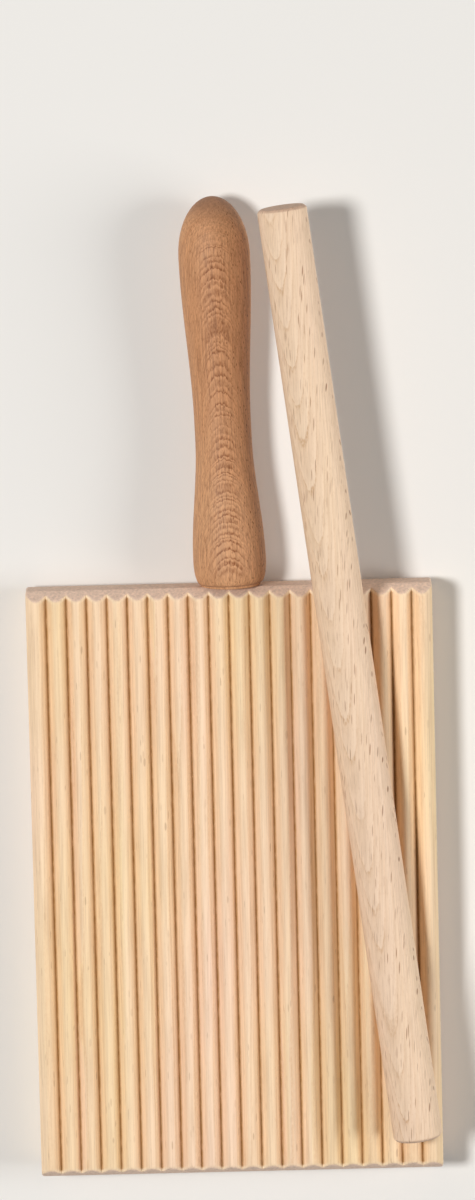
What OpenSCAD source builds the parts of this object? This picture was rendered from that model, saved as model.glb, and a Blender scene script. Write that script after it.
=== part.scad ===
/* [Board] */
// Width of the board, across the ridges
board_w = 82; // [60:1:120]
// Length of the board along the ridges, without the handle
board_l = 121; // [80:1:180]
// Thickness from the flat back to the ridge crests
board_t = 13; // [12:0.5:20]
// Spacing of the ridges, crest to crest
ridge_pitch = 4.1; // [3:0.1:5]
// Angle between the two flanks of a groove, in degrees
groove_angle = 68; // [60:1:110]
// Radius of the rounded crests
crest_r = 1.2; // [0.6:0.1:1.5]
// How far the sanded bevel of each end reaches in along the ridges
bevel_in = 1.75; // [0.5:0.05:3]
// How far that bevel comes down the end face
bevel_down = 3.6; // [1.5:0.1:5]
// How far the bevel below it reaches in under the back
back_bevel_in = 1.7; // [0.5:0.1:2]
// How far that lower bevel comes up the end face
back_bevel_up = 3.5; // [0.5:0.1:4]
// Eased long edges of the back
back_ease = 0.8; // [0.2:0.1:1.5]

/* [Handle] */
// Length of the handle outside the board
handle_l = 79; // [55:1:120]
// Diameter of the swelling next to the board
swell_d = 14.7; // [13:0.1:22]
// Diameter of the waist
waist_d = 11.4; // [9:0.1:13]
// Diameter of the swelling near the free end
palm_d = 14.4; // [12:0.1:20]
// Diameter of the shoulder that meets the board
shoulder_d = 12.2; // [10:0.1:13.2]
// How far the shoulder's rounding reaches up the handle
shoulder_l = 5; // [3:0.5:8]
// Length of the domed free end, from the palm swelling to the tip
dome_l = 12; // [8:0.5:20]
// Reach of the lower swelling towards the waist
swell_reach = 25; // [12:1:30]
// Reach of the palm swelling towards the waist
palm_reach = 34; // [12:1:40]

/* [Handle joint] */
// Diameter of the tenon turned on the handle
tenon_d = 5; // [4:0.5:8]
// Length of the tenon
tenon_l = 25; // [12:1:40]
// Radial room for glue around the tenon
tenon_gap = 0.05; // [0.02:0.01:0.15]
// Room left at the bottom of the tenon's hole
tenon_end_gap = 1; // [0.5:0.5:3]
// Least wood between the hole and the grooves above it
tenon_cover = 1; // [0.8:0.1:3]
// Place of the hole beside the middle of the end, as drilled by hand
handle_shift = 0.5; // [-2:0.1:2]
// Lean of the hole and the handle away from square, in degrees
handle_lean = 1.5; // [-3:0.1:3]

/* [Rolling rod] */
// Diameter of the loose rod
rod_d = 10; // [6:0.5:16]
// Length of the loose rod
rod_l = 192; // [120:1:240]
// Chamfer on both ends of the rod
rod_chamfer = 0.6; // [0.2:0.1:1.5]
// Space between the rod's lower end and the board's side
rod_side_inset = 0.1; // [0:0.1:8]
// Space between the rod's lower end and the board's free end
rod_end_inset = 7.5; // [0:0.5:20]
// Space between the handle's free end and the rod beside it
rod_handle_gap = 1.7; // [0.2:0.1:10]
// Height of the resting rod above the ridge crests
rod_seat_gap = 0.1; // [0.05:0.05:0.3]

/* [Hidden] */

// Fineness of the drawn circles
fine = 96;
// How far a cutting solid stands past the wood that it cuts
past = 2;
// Narrowest plain border that is drawn beside the outermost ridges
least_border = 0.01;
// Chamfer on the tip of the tenon and on the rim of the handle's shoulder
small_ease = 0.5;
// Points along the handle's shoulder, body and dome
shoulder_steps = 6;
body_steps = 28;
dome_steps = 12;
// Flat facets that make up a rounded crest
crest_steps = 10;

// The origin is on the resting plane, in the middle of the whole length
free_end_y = -(board_l + handle_l) / 2;
joint_y = free_end_y + board_l;

// A ridge is a rounded crest between two straight flanks, which meet its neighbours' flanks in the grooves
flank_slope = 90 - groove_angle / 2;
ridge_h = crest_r * (1 - cos(flank_slope))
    + (ridge_pitch / 2 - crest_r * sin(flank_slope)) * tan(flank_slope);
groove_z = board_t - ridge_h;
ridge_count = floor((board_w + least_border) / ridge_pitch);
border_w = (board_w - ridge_count * ridge_pitch) / 2;

// The thickest part of the handle just reaches the resting plane, unless the hole needs more cover
hole_r = tenon_d / 2 + tenon_gap;
handle_z = min(max(swell_d, palm_d) / 2, groove_z - tenon_cover - hole_r);

// The shoulder starts inside the end face and is dressed flush with it, which takes up the lean
shoulder_sink = shoulder_d / 2 * abs(sin(handle_lean));

// The rod lies slanting on the crests, from the board's side to the handle's free end
rod_low_x = board_w / 2 - rod_side_inset - rod_d / 2;
handle_tip_x = handle_shift - handle_l * sin(handle_lean);
rod_high_x = handle_tip_x + palm_d / 2 + rod_handle_gap + rod_d / 2;
rod_slant = asin((rod_low_x - rod_high_x) / rod_l);
rod_low_y = free_end_y + rod_end_inset + rod_d / 2 * sin(rod_slant);
rod_z = board_t + rod_seat_gap + rod_d / 2;

// A raised-cosine hump, 1 at its middle and 0 at its reach and beyond
function hump(s, middle, reach) =
    abs(s - middle) >= reach ? 0 : (1 + cos(180 * (s - middle) / reach)) / 2;

// Radius of the handle at s from the board, between the two swellings
function body_radius(s) =
    waist_d / 2
    + (swell_d - waist_d) / 2 * hump(s, shoulder_l, swell_reach)
    + (palm_d - waist_d) / 2 * hump(s, handle_l - dome_l, palm_reach);

// The two rounded ends start from the body's own radius there
swell_r = body_radius(shoulder_l);
palm_r = body_radius(handle_l - dome_l);

// Outline of the exposed handle as radius and distance from the board: two quarter ellipses and the body
shoulder_curve = [
    for (i = [0 : shoulder_steps - 1])
        let (turn = 90 * (1 - i / shoulder_steps))
            [shoulder_d / 2 + (swell_r - shoulder_d / 2) * cos(turn),
             shoulder_l - (shoulder_l - small_ease) * sin(turn)]
];
body_curve = [
    for (i = [0 : body_steps])
        let (s = shoulder_l + (handle_l - dome_l - shoulder_l) * i / body_steps)
            [body_radius(s), s]
];
dome_curve = [
    for (i = [1 : dome_steps - 1])
        let (turn = 90 * i / dome_steps)
            [palm_r * cos(turn), handle_l - dome_l + dome_l * sin(turn)]
];
shoulder_face = [
    [0, -shoulder_sink],
    [shoulder_d / 2 - small_ease, -shoulder_sink]
];
handle_outline = concat(shoulder_face, shoulder_curve, body_curve, dome_curve, [[0, handle_l]]);

// Outline of the tenon, which runs a little way into the handle's body
tenon_outline = [
    [0, -tenon_l],
    [tenon_d / 2 - small_ease, -tenon_l],
    [tenon_d / 2, -tenon_l + small_ease],
    [tenon_d / 2, past],
    [0, past]
];

// Lays what is drawn round Z on the handle's axis, with its zero at the board's end face
module on_handle_axis() {
    translate([handle_shift, joint_y, handle_z])
        rotate([0, 0, handle_lean])
            rotate([-90, 0, 0])
                children();
}

// Top of the board from -X to +X: each ridge starts in a groove and is rounded from flank to flank
first_groove_x = -ridge_count * ridge_pitch / 2;
ridges_outline = [
    for (i = [0 : ridge_count - 1])
        let (groove_x = first_groove_x + i * ridge_pitch, crest_x = groove_x + ridge_pitch / 2)
            each concat(
                [[groove_x, groove_z]],
                [for (j = [0 : crest_steps])
                    let (turn = flank_slope * (2 * j / crest_steps - 1))
                        [crest_x + crest_r * sin(turn), board_t - crest_r * (1 - cos(turn))]]
            )
];

// Plain borders at the height of the grooves, where the ridges don't fill the width
left_border = border_w > least_border ? [[-board_w / 2, groove_z]] : [];
right_border = border_w > least_border ? [[board_w / 2, groove_z]] : [];
last_groove_x = border_w > least_border ? -first_groove_x : board_w / 2;

// Section of the board: flat back with eased edges, straight sides and the ridges on top
module board_section() {
    polygon(concat(
        [[board_w / 2 - back_ease, 0], [-board_w / 2 + back_ease, 0], [-board_w / 2, back_ease]],
        left_border,
        ridges_outline,
        [[last_groove_x, groove_z]],
        right_border,
        [[board_w / 2, back_ease]]
    ));
}

// Wedge along X that bevels the edge at the origin, with legs inward along -Y and down along -Z
module edge_bevel(inward, down) {
    run = past / down;
    rotate([90, 0, 90])
        linear_extrude(height = board_w + 2 * past, center = true)
            polygon([
                [-inward * (1 + run), past],
                [inward * run, -down - past],
                [past + inward * (1 + run), past]
            ]);
}

// The bevels above and below the end face that children() stand at
module end_bevels() {
    translate([0, 0, board_t]) edge_bevel(bevel_in, bevel_down);
    mirror([0, 0, 1]) edge_bevel(back_bevel_in, back_bevel_up);
}

module ridged_board() {
    color("#EAC697")
        difference() {
            translate([0, joint_y, 0])
                rotate([90, 0, 0])
                    linear_extrude(height = board_l)
                        board_section();
            translate([0, joint_y, 0]) end_bevels();
            translate([0, free_end_y, 0]) mirror([0, 1, 0]) end_bevels();
            on_handle_axis()
                translate([0, 0, -tenon_l - tenon_end_gap])
                    cylinder(r = hole_r, h = tenon_l + tenon_end_gap + past, $fn = fine);
        }
}

module handle() {
    color("#BE8A60") {
        on_handle_axis() rotate_extrude($fn = fine) polygon(tenon_outline);
        intersection() {
            on_handle_axis() rotate_extrude($fn = fine) polygon(handle_outline);
            translate([-board_w / 2, joint_y, -board_t]) cube([board_w, 2 * handle_l, 3 * board_t]);
        }
    }
}

module rolling_rod() {
    color("#EBD0AE")
        translate([rod_low_x, rod_low_y, rod_z])
            rotate([0, 0, rod_slant])
                rotate([-90, 0, 0])
                    rotate_extrude($fn = fine)
                        polygon([
                            [0, 0],
                            [rod_d / 2 - rod_chamfer, 0],
                            [rod_d / 2, rod_chamfer],
                            [rod_d / 2, rod_l - rod_chamfer],
                            [rod_d / 2 - rod_chamfer, rod_l],
                            [0, rod_l]
                        ]);
}

ridged_board();
handle();
rolling_rod();
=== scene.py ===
"""Gnocchi board: a ridged beech board, its turned handle and the loose rolling rod, on a plain stage.

Every length is in metres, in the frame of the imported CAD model: +Y runs along the ridges to the handle,
+Z out of the ridged face, and the board lies on z = 0. Each piece's object sits at the origin, and its
place is in its mesh.
"""

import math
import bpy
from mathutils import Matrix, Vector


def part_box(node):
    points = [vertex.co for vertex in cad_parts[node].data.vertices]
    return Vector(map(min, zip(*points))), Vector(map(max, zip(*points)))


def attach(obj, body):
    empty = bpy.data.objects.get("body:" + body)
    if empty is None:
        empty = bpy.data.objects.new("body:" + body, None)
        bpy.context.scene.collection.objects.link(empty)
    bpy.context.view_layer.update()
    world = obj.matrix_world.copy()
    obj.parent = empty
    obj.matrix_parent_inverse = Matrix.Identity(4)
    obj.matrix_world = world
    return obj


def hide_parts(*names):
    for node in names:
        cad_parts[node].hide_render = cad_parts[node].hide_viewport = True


bl_info = {
    "name": "Gnocchi Board",
    "version": (1, 0, 0),
    "blender": (4, 5, 0),
    "location": "View3D > Sidebar > Gnocchi Board",
    "description": "Builds a ridged board, its turned handle, a rolling rod and a plain stage",
    "category": "Add Mesh",
}

import bpy
import numpy as np
from mathutils import Matrix, Vector

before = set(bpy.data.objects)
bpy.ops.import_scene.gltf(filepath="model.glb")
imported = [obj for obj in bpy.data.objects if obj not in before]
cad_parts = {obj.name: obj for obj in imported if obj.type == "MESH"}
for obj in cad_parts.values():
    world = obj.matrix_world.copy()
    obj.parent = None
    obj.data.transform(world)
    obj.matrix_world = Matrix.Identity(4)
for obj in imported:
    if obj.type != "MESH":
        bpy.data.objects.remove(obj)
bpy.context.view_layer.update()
BOARD_LOW, BOARD_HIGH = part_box("ridged_board")
ROD_LOW, ROD_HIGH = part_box("rolling_rod")

MM = 0.001

# The photograph's frame in pixels, width and height
PICTURE = (475, 1200)
SENSOR_WIDTH = 36.0

# Edges that turn less than this are shaded smooth; the grooves turn more
SMOOTH_ANGLE = math.radians(38)


def linear_rgb(code):
    """Linear colour of an sRGB hex code: c / 12.92 up to 0.04045, and ((c + 0.055) / 1.055) ** 2.4 above."""
    values = np.array([int(code[i : i + 2], 16) for i in (1, 3, 5)]) / 255
    low = values / 12.92
    high = ((values + 0.055) / 1.055) ** 2.4
    return tuple(np.where(values <= 0.04045, low, high).tolist())


def length_property(name, description, default):
    """A length in metres, which the user sees in the scene's unit."""
    return bpy.props.FloatProperty(
        name=name, description=description, default=default, min=0, precision=5, unit="LENGTH"
    )


def offset_property(name, description, default):
    """A coordinate in metres, which may be negative."""
    return bpy.props.FloatProperty(
        name=name, description=description, default=default, precision=5, unit="LENGTH"
    )


def angle_property(name, description, degrees):
    """An angle, kept in radians."""
    return bpy.props.FloatProperty(
        name=name, description=description, default=math.radians(degrees), subtype="ANGLE"
    )


def colour_property(name, description, code):
    """A colour, given as an sRGB hex code and kept linear."""
    return bpy.props.FloatVectorProperty(
        name=name, description=description, default=linear_rgb(code), min=0, max=1, subtype="COLOR"
    )


class BoardSettings(bpy.types.PropertyGroup):
    """Sizes and colours of the ridged board."""

    width: length_property("Width", "Width across the ridges", BOARD_HIGH.x - BOARD_LOW.x)
    length: length_property("Length", "Length along the ridges", BOARD_HIGH.y - BOARD_LOW.y)
    thickness: length_property("Thickness", "From the back to the crests", BOARD_HIGH.z)
    ridges: bpy.props.IntProperty(name="Ridges", description="Number of ridges", default=20, min=2)
    groove_angle: angle_property("Groove angle", "Angle between the flanks of a groove", 68)
    crest_radius: length_property("Crest radius", "Radius of the rounded crests", 1.2 * MM)
    bevel_in: length_property("Bevel inward", "Reach of the end bevel along the ridges", 1.75 * MM)
    bevel_down: length_property("Bevel down", "Reach of the end bevel down the end", 3.6 * MM)
    back_in: length_property("Back bevel inward", "Reach of the lower bevel under the back", 1.7 * MM)
    back_up: length_property("Back bevel up", "Reach of the lower bevel up the end", 3.5 * MM)
    back_ease: length_property("Back ease", "Easing of the back's long edges", 0.8 * MM)
    corner_ease: length_property("Corner ease", "Rounding of the upright corners", 0.5 * MM)
    edge_trim: length_property("Edge rounding", "Reach of the rounding of each sanded edge", 0.2 * MM)
    crest_trim: length_property("Crest rounding", "Reach of the rounding over the ridges' ends", 0.7 * MM)
    pale: colour_property("Pale wood", "Light yellowish beech", "#F4D8AB")
    warm: colour_property("Warm wood", "Light pinkish beech", "#F6D4BA")
    late: colour_property("Ring line", "Late wood at the end of a ring", "#DFB489")
    ray: colour_property("Ray", "Rays and flecks", "#B08C68")
    end: colour_property("End grain", "Cut ends of the fibres", "#E6C8B2")
    # Painted shade: brown in the grooves, darkest at their bottoms, where shade falls between the ridges
    groove_shade: colour_property("Groove", "Wood rubbed brown by the cutter", "#AE8149")
    # Painted highlight: a pale line where the crests meet the end bevel, brightest at the grooves' tips
    edge_highlight: colour_property("Edge highlight", "Fuzzy edge left by sanding the ends", "#FBE6C8")


class HandleSettings(bpy.types.PropertyGroup):
    """Sizes and colours of the turned handle."""

    length: length_property("Length", "Length outside the board", 79 * MM)
    swell: length_property("Swelling", "Diameter of the swelling next to the board", 14.7 * MM)
    waist: length_property("Waist", "Diameter of the waist", 11.4 * MM)
    palm: length_property("Palm swelling", "Diameter of the swelling near the free end", 14.4 * MM)
    shoulder: length_property("Shoulder", "Diameter where the handle meets the board", 12.2 * MM)
    shoulder_reach: length_property("Shoulder reach", "Length of the shoulder's rounding", 5 * MM)
    rim_ease: length_property("Rim ease", "Easing of the shoulder's rim and the tenon's tip", 0.5 * MM)
    dome: length_property("Dome", "Length of the domed free end", 12 * MM)
    swell_reach: length_property("Swelling reach", "Reach of the lower swelling", 25 * MM)
    palm_reach: length_property("Palm reach", "Reach of the palm swelling", 34 * MM)
    tenon: length_property("Tenon", "Diameter of the tenon", 5 * MM)
    tenon_length: length_property("Tenon length", "Length of the tenon in the board", 25 * MM)
    glue_room: length_property("Glue room", "Radial room round the tenon", 0.05 * MM)
    end_room: length_property("End room", "Room at the bottom of the bore", 1 * MM)
    shift: offset_property("Shift", "Place of the bore beside the middle", 0.5 * MM)
    lean: angle_property("Lean", "Lean of the handle towards -X", 1.5)
    pale: colour_property("Pale wood", "Light steamed beech", "#D8A579")
    warm: colour_property("Warm wood", "Reddish steamed beech", "#CC9367")
    late: colour_property("Ring line", "Late wood at the end of a ring", "#783C0D")
    ray: colour_property("Ray", "Rays and flecks", "#6C3A12")
    end: colour_property("End grain", "Cut ends of the fibres", "#A27454")


class RodSettings(bpy.types.PropertyGroup):
    """Sizes and colours of the loose rod."""

    diameter: length_property("Diameter", "Diameter of the rod", ROD_HIGH.z - ROD_LOW.z)
    chamfer: length_property("Chamfer", "Chamfer on both ends", 0.6 * MM)
    pale: colour_property("Pale wood", "Light yellowish beech", "#F1D5B4")
    warm: colour_property("Warm wood", "Light pinkish beech", "#EED0B4")
    late: colour_property("Ring line", "Late wood at the end of a ring", "#C2925F")
    ray: colour_property("Ray", "Rays and flecks", "#83481A")
    end: colour_property("End grain", "Cut ends of the fibres", "#CDAA90")


class StageSettings(bpy.types.PropertyGroup):
    """Floor, lamps and camera."""

    look_x: offset_property("Look at X", "Point at the middle of the picture", 1.76 * MM)
    look_y: offset_property("Look at Y", "Point at the middle of the picture", 18.80 * MM)
    look_z: offset_property("Look at Z", "Point at the middle of the picture", 13.0 * MM)
    distance: length_property("Distance", "From the camera to that point", 1.5)
    tilt: angle_property("Tilt", "Tilt of the camera towards the handle's side", 9)
    roll: angle_property("Roll", "Turn of the camera about its own axis", -1.386)
    focal_pixels: bpy.props.FloatProperty(
        name="Focal length", description="Focal length in pixels of the photograph", default=7448.5
    )
    lamp_distance: length_property("Lamp distance", "From either lamp to the board", 2)
    key_power: bpy.props.FloatProperty(
        name="Key power", description="Power of the lamp on the left", default=30.0, unit="POWER"
    )
    key_height: angle_property("Key height", "Height of that lamp above the floor", 62)
    key_turn: angle_property("Key turn", "Turn of that lamp towards the handle's side", 16)
    key_size: length_property("Key size", "Width of that lamp", 0.4)
    fill_power: bpy.props.FloatProperty(
        name="Fill power", description="Power of the soft lamp on the right", default=20.2, unit="POWER"
    )
    fill_height: angle_property("Fill height", "Height of that lamp above the floor", 30)
    fill_size: length_property("Fill size", "Width of that lamp", 1)
    sky: bpy.props.FloatProperty(name="Sky", description="Strength of the even light", default=0.125)
    floor_size: length_property("Floor size", "Width of the floor", 4)
    floor: colour_property("Floor", "Matt pale floor", "#E9E6E1")


# How the wood lies in each piece, with lengths in millimetres.
# turn: turn about X, Y and Z, in degrees, that brings the piece's coordinates to the wood's, with Y' along
# the fibres, Z' across the growth rings and X' across the rays
# pith: place of the log's middle, beside and below the piece
# dip: how much nearer to the pith a ring comes with each millimetre along the fibres
# ring, uneven: width of a ring, and how far the unevenness shifts rings, in ring widths
# warp, fray: how far a ring strays slowly and finely
# line, ring_show, band_show: the dark line's share of a ring, its strength, and that of the wood before it
# side_show: what is left of that line where the rings stand upright in the surface
# ring_tint: how much the tint changes from ring to ring
# ray, ray_show, ray_share: size of a ray's cell along X', Y' and Z', its strength, and the share of the
# cells that can hold one
# ray_side: rays are faint before the first X' and show in full past the second
# fibre, fibre_show, pore_show: size of a bundle of fibres, and the strength of fibres and pores
# relief: height of the bump
BOARD_FIGURE = {
    "turn": (1.0, 52.0, 0.6),
    "pith": (0.0, 70.0),
    "dip": 0.0,
    "ring": 2.9,
    "uneven": 3.2,
    "warp": 2.0,
    "fray": 0.05,
    "line": 0.3,
    "ring_show": 0.4,
    "side_show": 1.0,
    "band_show": 0.25,
    "ray": (0.3, 3.2, 1.2),
    "ray_show": 0.5,
    "ray_share": 0.35,
    "ray_side": (-60.0, -59.0),
    "fibre": (0.4, 14.0, 0.4),
    "fibre_show": 0.2,
    "pore_show": 0.12,
    "relief": 0.02,
    "ring_tint": 0.25,
}
HANDLE_FIGURE = {
    "turn": (-2.0, 1.0, -1.5),
    "pith": (0.0, 90.0),
    "dip": -0.24,
    "ring": 0.4,
    "uneven": 2.4,
    "warp": 0.4,
    "fray": 0.085,
    "line": 0.8,
    "ring_show": 0.68,
    "side_show": 0.05,
    "band_show": 0.2,
    "ray": (0.26, 0.9, 0.7),
    "ray_show": 0.95,
    "ray_share": 0.85,
    "ray_side": (0.0, 3.0),
    "fibre": (0.26, 8.0, 0.26),
    "fibre_show": 0.28,
    "pore_show": 0.3,
    "relief": 0.03,
    "ring_tint": 0.1,
}
ROD_FIGURE = {
    "turn": (0.3, 27.0, 1.0),
    "pith": (29.6, 120.0),
    "dip": 0.0,
    "ring": 0.55,
    "uneven": 1.6,
    "warp": 0.5,
    "fray": 0.03,
    "line": 0.2,
    "ring_show": 0.5,
    "side_show": 0.12,
    "band_show": 0.2,
    "ray": (0.26, 4.6, 1.2),
    "ray_show": 0.85,
    "ray_share": 0.65,
    "ray_side": (0.0, 2.5),
    "fibre": (0.35, 9.0, 0.35),
    "fibre_show": 0.14,
    "pore_show": 0.12,
    "relief": 0.02,
    "ring_tint": 0.1,
}

# Size in millimetres of a pore, the short open end of a vessel, in the wood's own directions
PORE = (0.3, 0.8, 0.3)


def add_node(tree, kind, inputs, **settings):
    """Adds a node, makes its settings, and gives each named input a value or a link from another output."""
    node = tree.nodes.new(kind)
    for name, value in settings.items():
        setattr(node, name, value)
    for name, value in inputs.items():
        if isinstance(value, bpy.types.NodeSocket):
            tree.links.new(value, node.inputs[name])
        else:
            node.inputs[name].default_value = value
    return node.outputs


def with_alpha(colour):
    """The colour as four numbers, for a node's colour input."""
    return (*colour, 1.0)


def inverse(values):
    """1 divided by each value."""
    return tuple(1 / value for value in values)


def beech(name, wood, figure, groove_shade=None):
    """Solid beech, worked out in the wood's own coordinates so that every face shows its own cut.

    The rings are a saw-tooth of |(x' - beside, z' + below)| + dip y' + bend, in millimetres, where the bend
    is a slow and a fine noise. Each ring ends in a darker line of late wood, which the pores break up.
    Rays are cells that are thin across X', long along the fibres and deeper towards the pith, so they show
    as dashes where the rings lie flat in the surface and as flecks where they stand upright. Fibres are long
    fine streaks. Where an attribute is named that is 1 at the bottom of a groove and 0 at a crest, painted
    shade darkens the grooves brown and a painted highlight lightens the sanded ends of the crests at the end
    bevel.
    """
    material = bpy.data.materials.new(name)
    material.use_nodes = True
    tree = material.node_tree
    tree.nodes.clear()

    place = add_node(tree, "ShaderNodeTexCoord", {})
    turn = tuple(math.radians(a) for a in figure["turn"])
    grain = add_node(
        tree,
        "ShaderNodeMapping",
        {"Vector": place["Object"], "Rotation": turn, "Scale": (1 / MM, 1 / MM, 1 / MM)},
    )["Vector"]
    spot = add_node(tree, "ShaderNodeSeparateXYZ", {"Vector": grain})
    facing = add_node(
        tree, "ShaderNodeMapping", {"Vector": place["Normal"], "Rotation": turn}, vector_type="NORMAL"
    )["Vector"]
    facing = add_node(tree, "ShaderNodeVectorMath", {0: facing}, operation="ABSOLUTE")["Vector"]
    facing = add_node(tree, "ShaderNodeSeparateXYZ", {"Vector": facing})

    # Patterns in cells, of which there are this many to a millimetre along X', Y' and Z'
    cells = {}
    for kind, density in (
        ("drift", (0.04, 0.011, 0.04)),
        ("frayed", (1.7, 0.5, 1.7)),
        ("fibres", inverse(figure["fibre"])),
        ("pores", inverse(PORE)),
        ("rays", inverse(figure["ray"])),
    ):
        cells[kind] = add_node(
            tree, "ShaderNodeVectorMath", {0: grain, 1: density}, operation="MULTIPLY"
        )["Vector"]
    noise = {}
    for kind, detail in (("drift", 2.0), ("frayed", 1.0), ("fibres", 2.0), ("pores", 1.0)):
        noise[kind] = add_node(
            tree, "ShaderNodeTexNoise", {"Vector": cells[kind], "Scale": 1.0, "Detail": detail}
        )["Fac"]
    ray = add_node(tree, "ShaderNodeTexVoronoi", {"Vector": cells["rays"], "Scale": 1.0})
    ray_pick = add_node(tree, "ShaderNodeSeparateColor", {"Color": ray["Color"]})

    # Distance from the pith, and the rings along it with their uneven widths
    beside, below = figure["pith"]
    from_pith = add_node(
        tree,
        "ShaderNodeVectorMath",
        {0: grain, 1: (1.0, 0.0, 1.0), 2: (-beside, 0.0, below)},
        operation="MULTIPLY_ADD",
    )["Vector"]
    reach = add_node(tree, "ShaderNodeVectorMath", {0: from_pith}, operation="LENGTH")["Value"]
    bend = add_node(
        tree,
        "ShaderNodeMapRange",
        {"Value": noise["drift"], "To Min": -figure["warp"], "To Max": figure["warp"]},
    )["Result"]
    for measure, share in ((noise["frayed"], 4 * figure["fray"]), (spot["Y"], figure["dip"])):
        bend = add_node(
            tree, "ShaderNodeMath", {0: measure, 1: share, 2: bend}, operation="MULTIPLY_ADD"
        )["Value"]
    bent = add_node(tree, "ShaderNodeMath", {0: reach, 1: bend}, operation="ADD")["Value"]
    counted = add_node(tree, "ShaderNodeMath", {0: bent, 1: figure["ring"]}, operation="DIVIDE")["Value"]
    uneven = add_node(
        tree, "ShaderNodeTexNoise", {"W": counted, "Scale": 0.43, "Detail": 1.0}, noise_dimensions="1D"
    )["Fac"]
    rings = add_node(
        tree, "ShaderNodeMath", {0: uneven, 1: figure["uneven"], 2: counted}, operation="MULTIPLY_ADD"
    )["Value"]
    phase = add_node(tree, "ShaderNodeMath", {0: rings}, operation="FRACT")["Value"]
    number = add_node(tree, "ShaderNodeMath", {0: rings}, operation="FLOOR")["Value"]
    strength = add_node(tree, "ShaderNodeTexWhiteNoise", {"W": number}, noise_dimensions="1D")["Value"]
    ring_tint = figure["ring_tint"]
    tinted = add_node(
        tree, "ShaderNodeMath", {0: strength, 1: ring_tint, 2: noise["drift"]}, operation="MULTIPLY_ADD"
    )["Value"]

    # Amounts between two values of a measure: (measure, from, to, amount at from, amount at to)
    line = figure["line"]
    ring_show = figure["ring_show"]
    ray_show = figure["ray_show"]
    fibre_show = figure["fibre_show"]
    soft = {
        # The line at the end of a ring, and the end of the darkening that leads up to it
        "rise": (phase, 1 - line, 1 - 0.35 * line, 0, 1),
        "fall": (phase, 1 - 0.25 * line, 1, 1, 0),
        "band": (phase, 0.86, 1, 1, 0),
        # Lines weaken where the rings stand upright, and end where the piece is rounded off
        "lying": (facing["X"], 0.16, 0.55, 1, figure["side_show"]),
        "rounding": (facing["Y"], 0.13, 0.22, 1, 0),
        # Cut ends, where the fibres stand out of the surface
        "cut": (facing["Y"], 0.35, 0.8, 0, 1),
        "uncut": (facing["Y"], 0.35, 0.8, 1, 0),
        "ray_core": (ray["Distance"], 0.2, 0.36, 1, 0),
    }
    straight = {
        "shown": (strength, 0, 1, 0.3 * ring_show, ring_show),
        "broken": (noise["pores"], 0.4, 0.55, 0.3, 1),
        "pores": (noise["pores"], 0.56, 0.72, 0, figure["pore_show"]),
        "vessels": (noise["fibres"], 0.28, 0.55, fibre_show, 0),
        # Some of the cells hold a ray
        "held": (ray_pick["Red"], 1 - figure["ray_share"], 1, 0, 1),
        "ray_side": (spot["X"], *figure["ray_side"], 0.3 * ray_show, ray_show),
        "tint": (tinted, 0.35 + 0.2 * ring_tint, 0.65 + 0.8 * ring_tint, 0, 1),
        "streak": (noise["fibres"], 0.25, 0.75, 1 - 0.4 * fibre_show, 1 + 0.6 * fibre_show),
        "speck": (noise["frayed"], 0, 1, -0.25, 0.25),
        "dull": (noise["fibres"], 0.25, 0.75, 0.56, 0.7),
    }
    # Painted shade in the grooves, darker towards their bottoms and patchy, and a painted highlight along
    # the crests' ends at the end bevel
    if groove_shade:
        depth = add_node(tree, "ShaderNodeAttribute", {}, attribute_name=groove_shade)["Fac"]
        waver = add_node(
            tree, "ShaderNodeMath", {0: noise["fibres"], 1: 0.24, 2: depth}, operation="MULTIPLY_ADD"
        )["Value"]
        # |y - middle| + slope |z|, which is the same all over the plane of the end bevel
        from_middle = add_node(
            tree,
            "ShaderNodeVectorMath",
            {0: place["Object"], 1: (0.0, -(BOARD_LOW.y + BOARD_HIGH.y) / 2, 0.0)},
            operation="ADD",
        )["Vector"]
        from_middle = add_node(
            tree, "ShaderNodeVectorMath", {0: from_middle}, operation="ABSOLUTE"
        )["Vector"]
        slope = wood.bevel_in / wood.bevel_down
        outward = add_node(
            tree, "ShaderNodeVectorMath", {0: from_middle, 1: (0.0, 1.0, slope)}, operation="DOT_PRODUCT"
        )["Value"]
        bevel_at = wood.length / 2 + slope * (wood.thickness - wood.bevel_down)
        near_bevel = (outward, bevel_at - 0.9 * MM, bevel_at - 0.3 * MM)
        # Painted shade deep in the grooves
        soft["shade_in_groove"] = (waver, 0.8, 1.09, 0, 0.9)
        # Painted highlight near the end bevel's edge, where the painted groove shade stops
        soft["edge_highlight"] = (*near_bevel, 0, 1)
        soft["off_bevel_edge"] = (*near_bevel, 1, 0)
        # The painted groove shade is patchy
        straight["shade_patches"] = (noise["frayed"], 0.3, 0.6, 0.7, 1)
        # The painted highlight is strongest at the grooves' bottoms, the tips of the bevel's zigzag
        straight["highlight_at_tips"] = (depth, 0, 1, 0.08, 0.8)
    amount = {"phase": phase}
    for style, ranges in (("SMOOTHSTEP", soft), ("LINEAR", straight)):
        for kind, (measure, start, stop, first, last) in ranges.items():
            ends = {"From Min": start, "From Max": stop, "To Min": first, "To Max": last}
            amount[kind] = add_node(
                tree, "ShaderNodeMapRange", {"Value": measure, **ends}, interpolation_type=style
            )["Result"]

    # Products of amounts; a ray's is squared, so that few rays are dark
    products = {
        "ring_line": ("rise", "fall", "shown", "lying", "rounding", "broken"),
        "ring_band": ("phase", "band"),
        "ray": ("ray_core", "held", "held", "ray_side"),
    }
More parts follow.
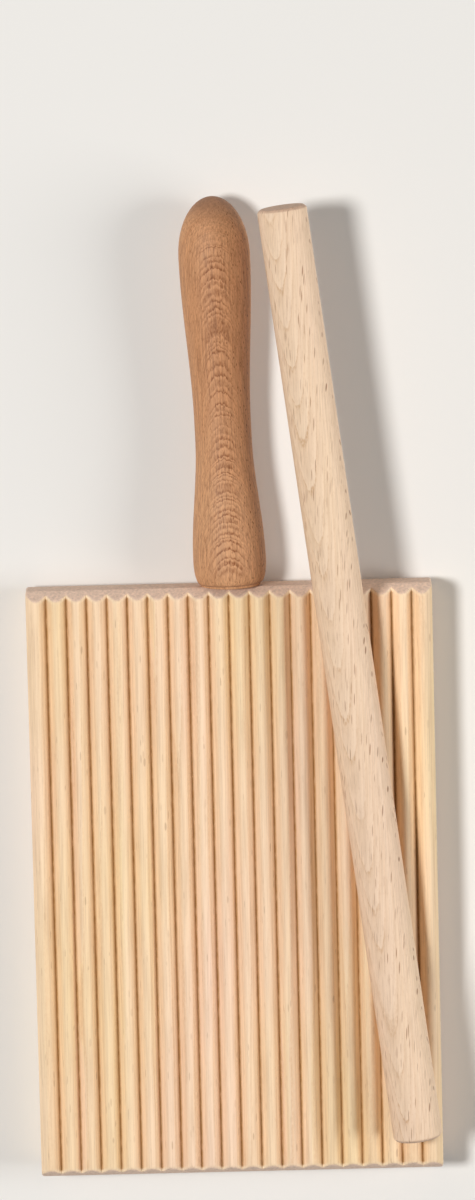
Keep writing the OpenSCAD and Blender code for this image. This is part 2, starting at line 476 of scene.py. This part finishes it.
    # Painted groove shade, and the painted highlight along the end bevel's edge
    if groove_shade:
        products["groove"] = ("shade_in_groove", "off_bevel_edge", "shade_patches")
        products["edge"] = ("edge_highlight", "uncut", "highlight_at_tips")
    for kind, parts in products.items():
        amount[kind] = amount[parts[0]]
        for part in parts[1:]:
            amount[kind] = add_node(
                tree, "ShaderNodeMath", {0: amount[kind], 1: amount[part]}, operation="MULTIPLY"
            )["Value"]
    ring_mask = add_node(
        tree,
        "ShaderNodeMath",
        {0: amount["ring_band"], 1: figure["band_show"], 2: amount["ring_line"]},
        operation="MULTIPLY_ADD",
        use_clamp=True,
    )["Value"]
    vessels = add_node(
        tree, "ShaderNodeMath", {0: amount["vessels"], 1: amount["pores"]}, operation="ADD"
    )["Value"]

    # Colour: two tints, then vessels, rings, cut ends, rays, painted groove shade and the painted edge
    # highlight, and the fibres' streaks
    coats = [
        (amount["tint"], wood.warm),
        (vessels, wood.late),
        (ring_mask, wood.late),
        (amount["cut"], wood.end),
        (amount["ray"], wood.ray),
    ]
    # Painted shade in the grooves, and a painted highlight at the end bevel's edge
    if groove_shade:
        coats += [(amount["groove"], wood.groove_shade), (amount["edge"], wood.edge_highlight)]
    colour = with_alpha(wood.pale)
    for mask, coat in coats:
        colour = add_node(
            tree, "ShaderNodeMix", {0: mask, 6: colour, 7: with_alpha(coat)}, data_type="RGBA"
        )[2]
    streak = add_node(
        tree,
        "ShaderNodeMath",
        {0: amount["speck"], 1: amount["cut"], 2: amount["streak"]},
        operation="MULTIPLY_ADD",
    )["Value"]
    colour = add_node(
        tree, "ShaderNodeVectorMath", {0: colour, "Scale": streak}, operation="SCALE"
    )["Vector"]

    # Sanded, bare wood: dull, with the rays a little smoother, and the rings' lines a little lower
    roughness = add_node(
        tree, "ShaderNodeMath", {0: amount["ray"], 1: -0.1, 2: amount["dull"]}, operation="MULTIPLY_ADD"
    )["Value"]
    height = add_node(
        tree, "ShaderNodeMath", {0: ring_mask, 1: -0.6, 2: noise["fibres"]}, operation="MULTIPLY_ADD"
    )["Value"]
    relief = add_node(
        tree,
        "ShaderNodeBump",
        {"Height": height, "Strength": 1.0, "Distance": figure["relief"] * MM},
    )["Normal"]
    shader = add_node(
        tree,
        "ShaderNodeBsdfPrincipled",
        {"Base Color": colour, "Roughness": roughness, "Normal": relief, "IOR": 1.45},
    )
    add_node(tree, "ShaderNodeOutputMaterial", {"Surface": shader["BSDF"]})
    return material


def show_mesh(name, points, faces, material):
    """Makes an object of these points and faces, at the origin, smooth but for its sharp edges."""
    mesh = bpy.data.meshes.new(name)
    mesh.from_pydata(points.tolist(), [], faces)
    mesh.validate()
    mesh.shade_smooth()
    mesh.set_sharp_from_angle(angle=SMOOTH_ANGLE)
    mesh.materials.append(material)
    piece = bpy.data.objects.new(name, mesh)
    bpy.context.scene.collection.objects.link(piece)
    return piece


def rounded(before, corner, after, trim, steps):
    """Points of the curve (1-t)^2 a + 2 t (1-t) c + t^2 b, which rounds the corner c, at each t in steps.

    a and b lie the trim away from the corner, towards the points before and after it.
    """
    back = before - corner
    ahead = after - corner
    start = corner + back * (trim / np.linalg.norm(back, axis=-1, keepdims=True))
    stop = corner + ahead * (trim / np.linalg.norm(ahead, axis=-1, keepdims=True))
    t = np.reshape(steps, (-1, 1))
    first = start[..., None, :]
    middle = corner[..., None, :]
    last = stop[..., None, :]
    return (1 - t) ** 2 * first + 2 * t * (1 - t) * middle + t**2 * last


def between(first, last, steps):
    """Points on the straight line a + t (b - a), at each t in steps."""
    t = np.reshape(steps, (-1, 1))
    return first[..., None, :] + t * (last - first)[..., None, :]


def slow_wave(values, period, seed):
    """Sum of four sines of about this period with seeded phases, from -1 to 1."""
    draw = np.random.default_rng(seed)
    total = np.zeros_like(values)
    for share in (1.0, 1.7, 2.9, 4.3):
        total = total + np.sin(values * (2 * np.pi * share / period) + draw.uniform(0, 2 * np.pi)) / share
    return total / 2.2


def ridge_profile(board, across):
    """Height of the top above the resting plane at each place across the ridges.

    At the distance d from a ridge's middle, the crest is z = thickness - r + sqrt(r^2 - d^2) up to
    d = r sin(slope), and the flank falls from there by tan(slope) for each unit of d.
    """
    pitch = board.width / board.ridges
    radius = board.crest_radius
    slope = (math.pi - board.groove_angle) / 2
    turn = across / pitch + board.ridges / 2
    from_middle = np.abs(turn - np.floor(turn) - 0.5) * pitch
    on_crest = np.minimum(from_middle, radius * math.sin(slope))
    on_flank = from_middle - on_crest
    return board.thickness - radius + np.sqrt(radius**2 - on_crest**2) - on_flank * math.tan(slope)


def board_columns(board):
    """Places across the board: r sin(a) at even angles a on a crest, and four steps to a flank.

    At the board's corners they follow the same rule with the corners' own radius.
    """
    pitch = board.width / board.ridges
    slope = (math.pi - board.groove_angle) / 2
    crest = board.crest_radius * np.sin(np.linspace(-slope, slope, 11))
    flank = np.linspace(-pitch / 2, crest[0], 5)[:-1]
    steps = np.concatenate([flank, crest, -flank[:0:-1]])
    middles = (np.arange(board.ridges) - (board.ridges - 1) / 2) * pitch
    inner = (middles[:, None] + steps[None, :]).ravel()
    rim = board.width / 2 - board.corner_ease
    least_step = 0.1 * MM
    inner = inner[np.abs(inner) < rim - least_step]
    corner = rim + board.corner_ease * np.sin(np.linspace(0, np.pi / 2, 7))
    return np.concatenate([-corner[::-1], inner, corner])


def end_outline(board, across, top):
    """Outline of an end at each column, as (distance in from the end plane, height), from back to top.

    Straight lines join the back edge, the lower bevel, the end face and the upper bevel, and their corners
    are rounded. The first and last points lie in the middle of the roundings against the back and the top.
    """
    ease_at = board.width / 2 - board.back_ease
    bottom = np.maximum(0, np.abs(across) - ease_at)
    flat = np.zeros_like(across)
    slope = board.bevel_in / board.bevel_down
    foot = np.stack([board.back_in * (1 - bottom / board.back_up), bottom], -1)
    low = np.stack([flat, flat + board.back_up], -1)
    high = np.stack([flat, flat + board.thickness - board.bevel_down], -1)
    crest = np.stack([board.bevel_in - slope * (board.thickness - top), top], -1)
    inward = np.array([board.length, 0.0])
    trim = board.edge_trim
    half = np.linspace(0.5, 1, 4)
    whole = np.linspace(0, 1, 5)
    low_steps = np.linspace(0, 1, 5)[1:-1]
    face_steps = np.linspace(0, 1, 9)[1:-1]
    high_steps = np.linspace(0, 1, 6)[1:-1]
    foot_curve = rounded(foot + inward, foot, low, trim, half)
    low_curve = rounded(foot, low, high, trim, whole)
    high_curve = rounded(low, high, crest, trim, whole)
    crest_curve = rounded(high, crest, crest + inward, board.crest_trim, 1 - half[::-1])
    parts = [
        foot_curve,
        between(foot_curve[:, -1], low_curve[:, 0], low_steps),
        low_curve,
        between(low_curve[:, -1], high_curve[:, 0], face_steps),
        high_curve,
        between(high_curve[:, -1], crest_curve[:, 0], high_steps),
        crest_curve,
    ]
    # Rows where the bore's mouth is set in: from the foot of the end face to the top of the upper bevel
    stops = np.cumsum([part.shape[1] for part in parts]).tolist()
    mouth_rows = (stops[2] - 1, stops[5] - 1)
    # What is left of the two outer roundings, on the back and on the top
    on_back = rounded(foot + inward, foot, low, trim, half[::-1] - 0.5)[0]
    on_top = rounded(high, crest, crest + inward, board.crest_trim, half)[0]
    return np.concatenate(parts, 1), on_back, on_top, mouth_rows


def board_shell(board, handle):
    """Closed surface of the board with its bore, as points, faces and each point's depth in a groove.

    The shell is the outside of a lattice: i across, j along, k from the back up to the top. Column i has
    the end outline (inset, height) at level k, and row j mixes the two ends:
    y = middle + u_j (length / 2 - inset_ik - near_jk), with u from -1 to 1 and near the row's distance
    from the end's edge. Only the top and back rows near an end leave the outline's height, to round it.
    The bore's rim is the circle c + r d, with d the way from its centre c to each point of a rectangle of
    the end face, and its wall is that circle carried along the leaning axis.
    """
    across = board_columns(board)
    top = ridge_profile(board, across)
    outline, on_back, on_top, mouth_rows = end_outline(board, across, top)
    last_i = len(across) - 1
    last_k = outline.shape[1] - 1
    edge_rows = len(on_top) - 1
    rows_along = 44
    last_j = rows_along + 2 * edge_rows

    rim = board.width / 2 - board.corner_ease
    past_rim = np.clip((np.abs(across) - rim) / board.corner_ease, 0, 1)
    corner_inset = board.corner_ease * (1 - np.sqrt(1 - past_rim**2))
    # The upper bevel's edge wanders by so much, as sanding by hand leaves it
    wander = 0.1 * MM
    sanded = wander / 2 * (1 + slow_wave(across, 30 * MM, 5))
    inset = outline[:, :, 0] + corner_inset[:, None]
    inset[:, mouth_rows[1] :] += sanded[:, None] * np.linspace(0, 1, last_k + 1 - mouth_rows[1])

    rows = np.arange(last_j + 1)
    from_end = np.minimum(rows, last_j - rows)
    edge_row = np.minimum(from_end, edge_rows)
    along = np.clip((rows - edge_rows) / rows_along * 2 - 1, -1, 1)
    near_back = (on_back[:, 0] - on_back[0, 0])[edge_row]
    near_top = (on_top[:, 0] - on_top[0, 0])[edge_row]
    rise_back = (on_back[:, 1] - on_back[-1, 1])[edge_row]
    rise_top = (on_top[:, 1] - on_top[-1, 1])[edge_row]

    def ids(i, j, k):
        return (i * (last_j + 1) + j) * (last_k + 1) + k

    def patch(first, second, third, flip):
        """Quads of one side of the lattice, with corners in the order that points outwards."""
        i, j, k = np.meshgrid(first, second, third, indexing="ij")
        sheet = ids(i, j, k).squeeze()
        quads = np.stack([sheet[:-1, :-1], sheet[1:, :-1], sheet[1:, 1:], sheet[:-1, 1:]], -1)
        return quads[..., ::-1] if flip else quads

    all_i = np.arange(last_i + 1)
    all_j = np.arange(last_j + 1)
    all_k = np.arange(last_k + 1)
    far_end = patch(all_i, [last_j], all_k, True)
    radius = handle.tenon / 2 + handle.glue_room
    least_rim = 0.3 * MM
    cut_i = np.nonzero(np.abs(across - handle.shift) > radius + least_rim)[0]
    left = cut_i[across[cut_i] < handle.shift][-1]
    right = cut_i[across[cut_i] > handle.shift][0]
    low, high = mouth_rows
    kept = np.ones(far_end.shape[:2], bool)
    kept[left:right, low:high] = False
    quads = [
        patch(all_i, all_j, [last_k], False),
        patch(all_i, all_j, [0], True),
        patch(all_i, [0], all_k, False),
        far_end[kept],
        patch([0], all_j, all_k, True),
        patch([last_i], all_j, all_k, False),
    ]
    quads = np.concatenate([q.reshape(-1, 4) for q in quads])

    # The rectangle's outline, once round
    wide = right - left
    tall = high - low
    rightwards = np.arange(left, right)
    upwards = np.arange(low, high)
    loop_i = np.concatenate([rightwards, np.full(tall, right), rightwards[::-1] + 1, np.full(tall, left)])
    loop_k = np.concatenate([np.full(wide, low), upwards, np.full(wide, high), upwards[::-1] + 1])
    loop = ids(loop_i, np.full(len(loop_i), last_j), loop_k)

    used, packed = np.unique(quads, return_inverse=True)
    quads = packed.reshape(-1, 4)
    i, rest = np.divmod(used, (last_j + 1) * (last_k + 1))
    j, k = np.divmod(rest, last_k + 1)
    level = k / last_k
    near = (1 - level) * near_back[j] + level * near_top[j]
    side = np.where(j == 0, -1.0, np.where(j == last_j, 1.0, along[j]))
    middle = (BOARD_LOW.y + BOARD_HIGH.y) / 2
    y = middle + side * (board.length / 2 - inset[i, k] - near)
    z = outline[i, k, 1]
    z = np.where(k == last_k, top[i] + rise_top[j], z)
    z = np.where(k == 0, outline[i, 0, 1] - on_back[0, 1] + on_back[-1, 1] + rise_back[j], z)
    points = np.stack([across[i], y, z], -1)

    # The bore: rim, wall and bottom
    rim_ids = np.searchsorted(used, loop)
    centre = np.array([handle.shift, handle.swell / 2])
    way = points[rim_ids][:, [0, 2]] - centre
    way = way / np.linalg.norm(way, axis=1, keepdims=True)
    deep = handle.tenon_length + handle.end_room
    mouth_z = centre[1] + radius * way[:, 1]
    up_bevel = np.maximum(0, mouth_z - (board.thickness - board.bevel_down))
    mouth_y = BOARD_HIGH.y - up_bevel * board.bevel_in / board.bevel_down
    mouth = np.stack([centre[0] + radius * way[:, 0], mouth_y, mouth_z], -1)
    floor = on_axis(handle, radius * way[:, 0], np.full(len(way), -deep), radius * way[:, 1])
    tip = on_axis(handle, np.zeros(1), np.full(1, -deep), np.zeros(1))
    count = len(way)
    start = len(points)
    ring = np.arange(count)
    after = (ring + 1) % count
    bore = [
        np.stack([rim_ids, start + ring, start + after, rim_ids[after]], -1),
        np.stack([start + ring, start + count + ring, start + count + after, start + after], -1),
    ]
    bottom = np.stack(
        [start + count + after, start + count + ring, np.full(count, start + 2 * count)], -1
    )
    points = np.concatenate([points, mouth, floor, tip])
    faces = np.concatenate([quads, *bore]).tolist() + bottom.tolist()
    # Grooves lie between the outermost crests; past those, the top falls to the plain sides
    on_ridges = np.concatenate([k == last_k, np.zeros(len(points) - start, bool)])
    on_ridges &= np.abs(points[:, 0]) < board.width / 2 * (1 - 1 / board.ridges)
    depth = np.where(on_ridges, (board.thickness - points[:, 2]) / np.ptp(top), 0)
    return points, faces, np.clip(depth, 0, 1)


def on_axis(handle, sideways, station, upwards):
    """Points at (sideways, station, upwards) from the board's end on the handle's leaning axis.

    x = shift + a cos(lean) - s sin(lean), y = end + a sin(lean) + s cos(lean), z = axis height + b.
    """
    turn = handle.lean
    x = handle.shift + sideways * np.cos(turn) - station * np.sin(turn)
    y = BOARD_HIGH.y + sideways * np.sin(turn) + station * np.cos(turn)
    return np.stack([x, y, handle.swell / 2 + upwards], -1)


def revolved(radii, stations, around):
    """A profile of radius over station, carried round its axis: (r cos(a), s, r sin(a)), with closed ends.

    The first and last radius are 0 and give the poles. Returns the three coordinates and the faces.
    """
    turns = np.arange(around) * (2 * np.pi / around)
    ring_radii = radii[1:-1, None]
    sideways = (ring_radii * np.cos(turns)).ravel()
    upwards = (ring_radii * np.sin(turns)).ravel()
    station = np.repeat(stations[1:-1], around)
    rings = len(radii) - 2
    grid = np.arange(rings * around).reshape(rings, around)
    beside = np.roll(grid, -1, 1)
    quads = np.stack([grid[:-1], grid[1:], beside[1:], beside[:-1]], -1).reshape(-1, 4)
    first = rings * around
    start = np.stack([np.full(around, first), grid[0], beside[0]], -1)
    stop = np.stack([grid[-1], np.full(around, first + 1), beside[-1]], -1)
    faces = quads.tolist() + start.tolist() + stop.tolist()
    sideways = np.append(sideways, [0, 0])
    upwards = np.append(upwards, [0, 0])
    station = np.append(station, [stations[0], stations[-1]])
    return sideways, station, upwards, faces


def hump(station, middle, reach):
    """Raised cosine: (1 + cos(pi (s - middle) / reach)) / 2 within its reach, and 0 outside."""
    inside = np.clip((station - middle) / reach, -1, 1)
    return (1 + np.cos(np.pi * inside)) / 2


def handle_profile(handle):
    """Radius and station of the handle's outline, from the tenon's tip to the free end, and where it is cut.

    Body: waist / 2 + (swell - waist) / 2 hump_1 + (palm - waist) / 2 hump_2. The shoulder and the dome are
    quarter ellipses. The last value is the first row of the shoulder, which is cut flush with the end.
    """
    body_end = handle.length - handle.dome
    shoulder_steps = 14
    body_steps = 130
    dome_steps = 26

    def body_radius(s):
        return (
            handle.waist / 2
            + (handle.swell - handle.waist) / 2 * hump(s, handle.shoulder_reach, handle.swell_reach)
            + (handle.palm - handle.waist) / 2 * hump(s, body_end, handle.palm_reach)
        )

    ease = handle.rim_ease
    pin = handle.tenon / 2
    edge = handle.shoulder / 2
    sink = edge * abs(math.sin(handle.lean))
    swell = body_radius(handle.shoulder_reach)
    palm = body_radius(body_end)
    tenon = [(0, -handle.tenon_length), (pin - ease, -handle.tenon_length)]
    tenon.append((pin, ease - handle.tenon_length))
    face = [(r, -sink) for r in np.linspace(pin, edge - ease, 5).tolist()]
    rim_start = np.array([edge - 2 * ease, -sink])
    rim_corner = np.array([edge - ease * 0.2, -sink])
    rim = rounded(rim_start, rim_corner, np.array([edge, ease]), ease, [0.35, 0.6, 0.85]).tolist()
    turn = np.linspace(np.pi / 2, 0, shoulder_steps)
    shoulder_r = edge + (swell - edge) * np.cos(turn)
    shoulder_s = handle.shoulder_reach - (handle.shoulder_reach - ease) * np.sin(turn)
    shoulder = np.stack([shoulder_r, shoulder_s], -1)
    s = np.linspace(handle.shoulder_reach, body_end, body_steps)[1:]
    body = np.stack([body_radius(s), s], -1)
    turn = np.linspace(0, np.pi / 2, dome_steps)[1:]
    dome = np.stack([palm * np.cos(turn), body_end + handle.dome * np.sin(turn)], -1)
    dome[-1, 0] = 0
    profile = np.concatenate([tenon, face, rim, shoulder, body, dome])
    return profile[:, 0], profile[:, 1], len(tenon)


def handle_shell(handle):
    """The handle's profile carried round its leaning axis, with the shoulder cut at the board's end."""
    around = 144
    radii, stations, first_cut = handle_profile(handle)
    sideways, station, upwards, faces = revolved(radii, stations, around)
    points = on_axis(handle, sideways, station, upwards)
    rows = np.append(np.repeat(np.arange(1, len(radii) - 1), around), [0, len(radii) - 1])
    points[:, 1] = np.where(rows >= first_cut, np.maximum(points[:, 1], BOARD_HIGH.y), points[:, 1])
    return points, faces


def rod_axis(diameter):
    """Lower end, way and length of the rod's axis, from the box that the slanting rod fills.

    A rod of length l, diameter d and slant a fills l sin(a) + d cos(a) by l cos(a) + d sin(a). Its lower
    end is at the box's +X side and its upper end leans towards -X. The slant is found by repetition.
    """
    wide = ROD_HIGH.x - ROD_LOW.x
    tall = ROD_HIGH.y - ROD_LOW.y
    slant = 0.0
    for _ in range(20):
        slant = math.atan2(wide - diameter * math.cos(slant), tall - diameter * math.sin(slant))
    length = (tall - diameter * math.sin(slant)) / math.cos(slant)
    start = Vector(
        (
            ROD_HIGH.x - diameter / 2 * math.cos(slant),
            ROD_LOW.y + diameter / 2 * math.sin(slant),
            (ROD_LOW.z + ROD_HIGH.z) / 2,
        )
    )
    return start, slant, length


def rod_shell(rod):
    """A round stick: the radius is d / 2, less a slow unevenness of up to 0.3 percent, with eased ends."""
    around = 112
    body_steps = 240
    uneven_share = 0.003
    trim = 0.25 * MM
    start, slant, length = rod_axis(rod.diameter)
    full = rod.diameter / 2
    cut = rod.chamfer
    path = np.array([[full - 2 * cut, 0.0], [full - cut, 0.0], [full, cut], [full, 2 * cut]])
    corners = rounded(path[:-2], path[1:-1], path[2:], trim, np.linspace(0, 1, 4)).reshape(-1, 2)
    rings = np.array([[0.0, 0.0], [full * 0.3, 0.0], [full * 0.65, 0.0]])
    low = np.concatenate([rings, corners])
    high = np.stack([low[:, 0], length - low[:, 1]], -1)[::-1]
    body_start = cut + 0.6 * MM
    s = np.linspace(body_start, length - body_start, body_steps)
    body = np.stack([np.full_like(s, full), s], -1)
    profile = np.concatenate([low, body, high])
    sideways, station, upwards, faces = revolved(profile[:, 0], profile[:, 1], around)
    turns = np.arctan2(upwards, sideways)
    uneven = slow_wave(station + 4 * MM * np.sin(turns), 60 * MM, 9) * np.cos(turns - 0.7)
    keep = 1 - uneven_share * (1 + uneven) / 2
    sideways = sideways * keep
    upwards = upwards * keep
    x = start.x + sideways * math.cos(slant) - station * math.sin(slant)
    y = start.y + sideways * math.sin(slant) + station * math.cos(slant)
    return np.stack([x, y, start.z + upwards], -1), faces


class GNOCCHI_OT_board(bpy.types.Operator):
    """Build the ridged board with its bevelled ends and the bore for the handle"""

    bl_idname = "gnocchi.board"
    bl_label = "Ridged Board"

    def execute(self, context):
        board = context.scene.gnocchi_board
        handle = context.scene.gnocchi_handle
        # Planed and lightly sanded pale beech: dull cream, pinkish and yellowish in turns, hardly any line
        # The groove depth places painted shade in the grooves and a painted highlight at the end bevel's
        # edge
        wood = beech("planed_pale_beech", board, BOARD_FIGURE, groove_shade="groove_depth")
        points, faces, depth = board_shell(board, handle)
        piece = show_mesh("board_wood", points, faces, wood)
        held = piece.data.attributes.new("groove_depth", "FLOAT", "POINT")
        held.data.foreach_set("value", depth)
        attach(piece, "board")
        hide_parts("ridged_board")
        return {"FINISHED"}


class GNOCCHI_OT_handle(bpy.types.Operator):
    """Build the turned handle with the tenon that holds it in the board"""

    bl_idname = "gnocchi.handle"
    bl_label = "Turned Handle"

    def execute(self, context):
        handle = context.scene.gnocchi_handle
        # Turned and sanded steamed beech: reddish brown, with the rings as a ladder of small arcs
        wood = beech("turned_steamed_beech", handle, HANDLE_FIGURE)
        points, faces = handle_shell(handle)
        piece = show_mesh("handle_wood", points, faces, wood)
        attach(piece, "board")
        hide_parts("handle")
        return {"FINISHED"}


class GNOCCHI_OT_rod(bpy.types.Operator):
    """Build the loose rod that rests on the ridges"""

    bl_idname = "gnocchi.rod"
    bl_label = "Rolling Rod"

    def execute(self, context):
        rod = context.scene.gnocchi_rod
        # Dowel of pale beech, sanded: cream, with faint U figures and dark dashes of the rays
        wood = beech("turned_pale_beech", rod, ROD_FIGURE)
        points, faces = rod_shell(rod)
        piece = show_mesh("rod_wood", points, faces, wood)
        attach(piece, "rod")
        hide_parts("rolling_rod")
        return {"FINISHED"}


class GNOCCHI_OT_stage(bpy.types.Operator):
    """Build the floor, the two lamps, the even light and the camera"""

    bl_idname = "gnocchi.stage"
    bl_label = "Stage"

    def execute(self, context):
        scene = context.scene
        stage = scene.gnocchi_stage
        self.make_floor(stage)
        self.make_light(scene, stage)
        self.make_camera(scene, stage)
        scene.view_settings.view_transform = "Standard"
        return {"FINISHED"}

    def make_floor(self, stage):
        """A flat grid just under the resting plane, in a matt pale paint with a faint unevenness."""
        paint = bpy.data.materials.new("matt_pale_paint")
        paint.use_nodes = True
        tree = paint.node_tree
        tree.nodes.clear()
        place = add_node(tree, "ShaderNodeTexCoord", {})
        cloud = add_node(
            tree, "ShaderNodeTexNoise", {"Vector": place["Object"], "Scale": 40.0, "Detail": 3.0}
        )["Fac"]
        rough = add_node(
            tree, "ShaderNodeMapRange", {"Value": cloud, "To Min": 0.75, "To Max": 0.9}
        )["Result"]
        shader = add_node(
            tree,
            "ShaderNodeBsdfPrincipled",
            {"Base Color": with_alpha(stage.floor), "Roughness": rough, "Specular IOR Level": 0.2},
        )
        add_node(tree, "ShaderNodeOutputMaterial", {"Surface": shader["BSDF"]})
        steps = 8
        lines = np.linspace(-stage.floor_size / 2, stage.floor_size / 2, steps + 1)
        x, y = np.meshgrid(lines, lines)
        below = 0.02 * MM
        points = np.stack([x.ravel(), y.ravel(), np.full(x.size, -below)], -1)
        grid = np.arange(x.size).reshape(steps + 1, steps + 1)
        quads = np.stack([grid[:-1, :-1], grid[:-1, 1:], grid[1:, 1:], grid[1:, :-1]], -1)
        floor = show_mesh("floor", points, quads.reshape(-1, 4).tolist(), paint)

    def make_light(self, scene, stage):
        """A lamp on the left, a softer and lower one on the right, and an even pale sky."""
        lamps = (
            ("key_lamp", math.pi - stage.key_turn, stage.key_height, stage.key_size, stage.key_power),
            ("fill_lamp", 0, stage.fill_height, stage.fill_size, stage.fill_power),
        )
        aim = Vector((0, 0, BOARD_HIGH.z))
        for name, bearing, height, size, power in lamps:
            data = bpy.data.lights.new(name, "AREA")
            data.shape = "DISK"
            data.size = size
            data.energy = power
            lamp = bpy.data.objects.new(name, data)
            flat = math.cos(height)
            way = Vector((flat * math.cos(bearing), flat * math.sin(bearing), math.sin(height)))
            turn = way.to_track_quat("Z", "Y").to_matrix().to_4x4()
            lamp.matrix_world = Matrix.Translation(aim + way * stage.lamp_distance) @ turn
            scene.collection.objects.link(lamp)
        world = bpy.data.worlds.new("pale_sky")
        world.use_nodes = True
        tree = world.node_tree
        tree.nodes.clear()
        ray = add_node(tree, "ShaderNodeLightPath", {})
        seen = add_node(
            tree,
            "ShaderNodeMapRange",
            {"Value": ray["Is Camera Ray"], "To Min": stage.sky, "To Max": 1.0},
        )["Result"]
        sky = add_node(
            tree, "ShaderNodeBackground", {"Color": (1.0, 1.0, 1.0, 1.0), "Strength": seen}
        )
        add_node(tree, "ShaderNodeOutputWorld", {"Surface": sky["Background"]})
        scene.world = world

    def make_camera(self, scene, stage):
        """The photograph's view: from above, tilted towards the handle's side and rolled a little."""
        data = bpy.data.cameras.new("camera")
        data.sensor_width = SENSOR_WIDTH
        data.lens = stage.focal_pixels / max(PICTURE) * SENSOR_WIDTH
        data.clip_start = 0.05
        data.clip_end = 20
        camera = bpy.data.objects.new("camera", data)
        turn = Matrix.Rotation(-stage.tilt, 4, "X") @ Matrix.Rotation(stage.roll, 4, "Z")
        look = Vector((stage.look_x, stage.look_y, stage.look_z))
        back = turn.to_3x3() @ Vector((0, 0, 1))
        camera.matrix_world = Matrix.Translation(look + back * stage.distance) @ turn
        scene.collection.objects.link(camera)
        scene.camera = camera


class GNOCCHI_PT_panel(bpy.types.Panel):
    """Lists the pieces' operators with their settings."""

    bl_idname = "GNOCCHI_PT_panel"
    bl_label = "Gnocchi Board"
    bl_space_type = "VIEW_3D"
    bl_region_type = "UI"
    bl_category = "Gnocchi Board"

    def draw(self, context):
        for name, operator in STEPS:
            group = getattr(context.scene, name)
            column = self.layout.column()
            column.operator(operator.bl_idname)
            for key in group.bl_rna.properties.keys():
                if key not in ("rna_type", "name"):
                    column.prop(group, key)


# Each piece's settings and the operator that builds it
STEPS = (
    ("gnocchi_board", GNOCCHI_OT_board),
    ("gnocchi_handle", GNOCCHI_OT_handle),
    ("gnocchi_rod", GNOCCHI_OT_rod),
    ("gnocchi_stage", GNOCCHI_OT_stage),
)
GROUPS = {
    "gnocchi_board": BoardSettings,
    "gnocchi_handle": HandleSettings,
    "gnocchi_rod": RodSettings,
    "gnocchi_stage": StageSettings,
}
CLASSES = (*GROUPS.values(), *(operator for _, operator in STEPS), GNOCCHI_PT_panel)


def register():
    """Registers the classes and gives the scene the pieces' settings."""
    for item in CLASSES:
        bpy.utils.register_class(item)
    for name, group in GROUPS.items():
        setattr(bpy.types.Scene, name, bpy.props.PointerProperty(type=group))


def unregister():
    """Takes the settings and the classes away again."""
    for name in GROUPS:
        delattr(bpy.types.Scene, name)
    for item in reversed(CLASSES):
        bpy.utils.unregister_class(item)


def main():
    """Builds the pieces and the stage."""
    register()
    bpy.ops.gnocchi.board()
    bpy.ops.gnocchi.handle()
    bpy.ops.gnocchi.rod()
    bpy.ops.gnocchi.stage()


if __name__ == "__main__":
    main()
